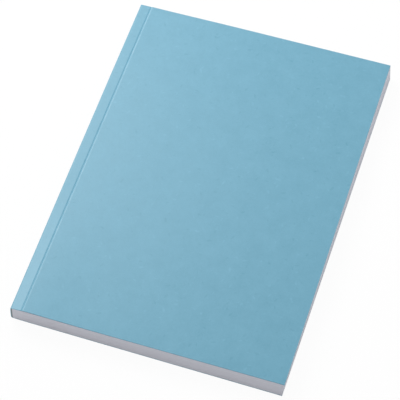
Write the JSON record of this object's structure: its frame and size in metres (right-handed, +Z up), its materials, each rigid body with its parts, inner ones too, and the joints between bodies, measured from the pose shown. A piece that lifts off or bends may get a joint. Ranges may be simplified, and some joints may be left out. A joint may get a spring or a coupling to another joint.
{
  "type": "softcover notebook",
  "caption": "Slim softcover notebook: a glued block of blank leaves in one folded card cover, with a scored hinge crease beside the spine, front and back.",
  "frame": {"origin": "middle of the back cover's outer face, which is the face the notebook lies on", "axes": "+X from the spine to the fore edge, +Y along the spine from the tail to the head, +Z up through the leaves from the back cover to the front cover"},
  "size_m": [0.148, 0.21, 0.0117],
  "materials": {
    "leaves": "matte",
    "glue": "satin",
    "cover_card": "matte"
  },
  "bodies": {
    "book_block": {"page_block": "leaves", "binding_glue": "glue", "cover_spine": "cover_card"},
    "front_cover": {"front_cover": "cover_card"},
    "back_cover": {"back_cover": "cover_card"}
  },
  "joints": [
    {"name": "front_cover_hinge", "type": "hinge", "parent": "book_block", "child": "front_cover", "pos_m": [-0.0676, 0, 0.0117], "axis": [0, -1, 0], "range_deg": [0, 175]},
    {"name": "back_cover_hinge", "type": "hinge", "parent": "book_block", "child": "back_cover", "pos_m": [-0.0676, 0, 0], "axis": [0, 1, 0], "range_deg": [0, 175]}
  ]
}
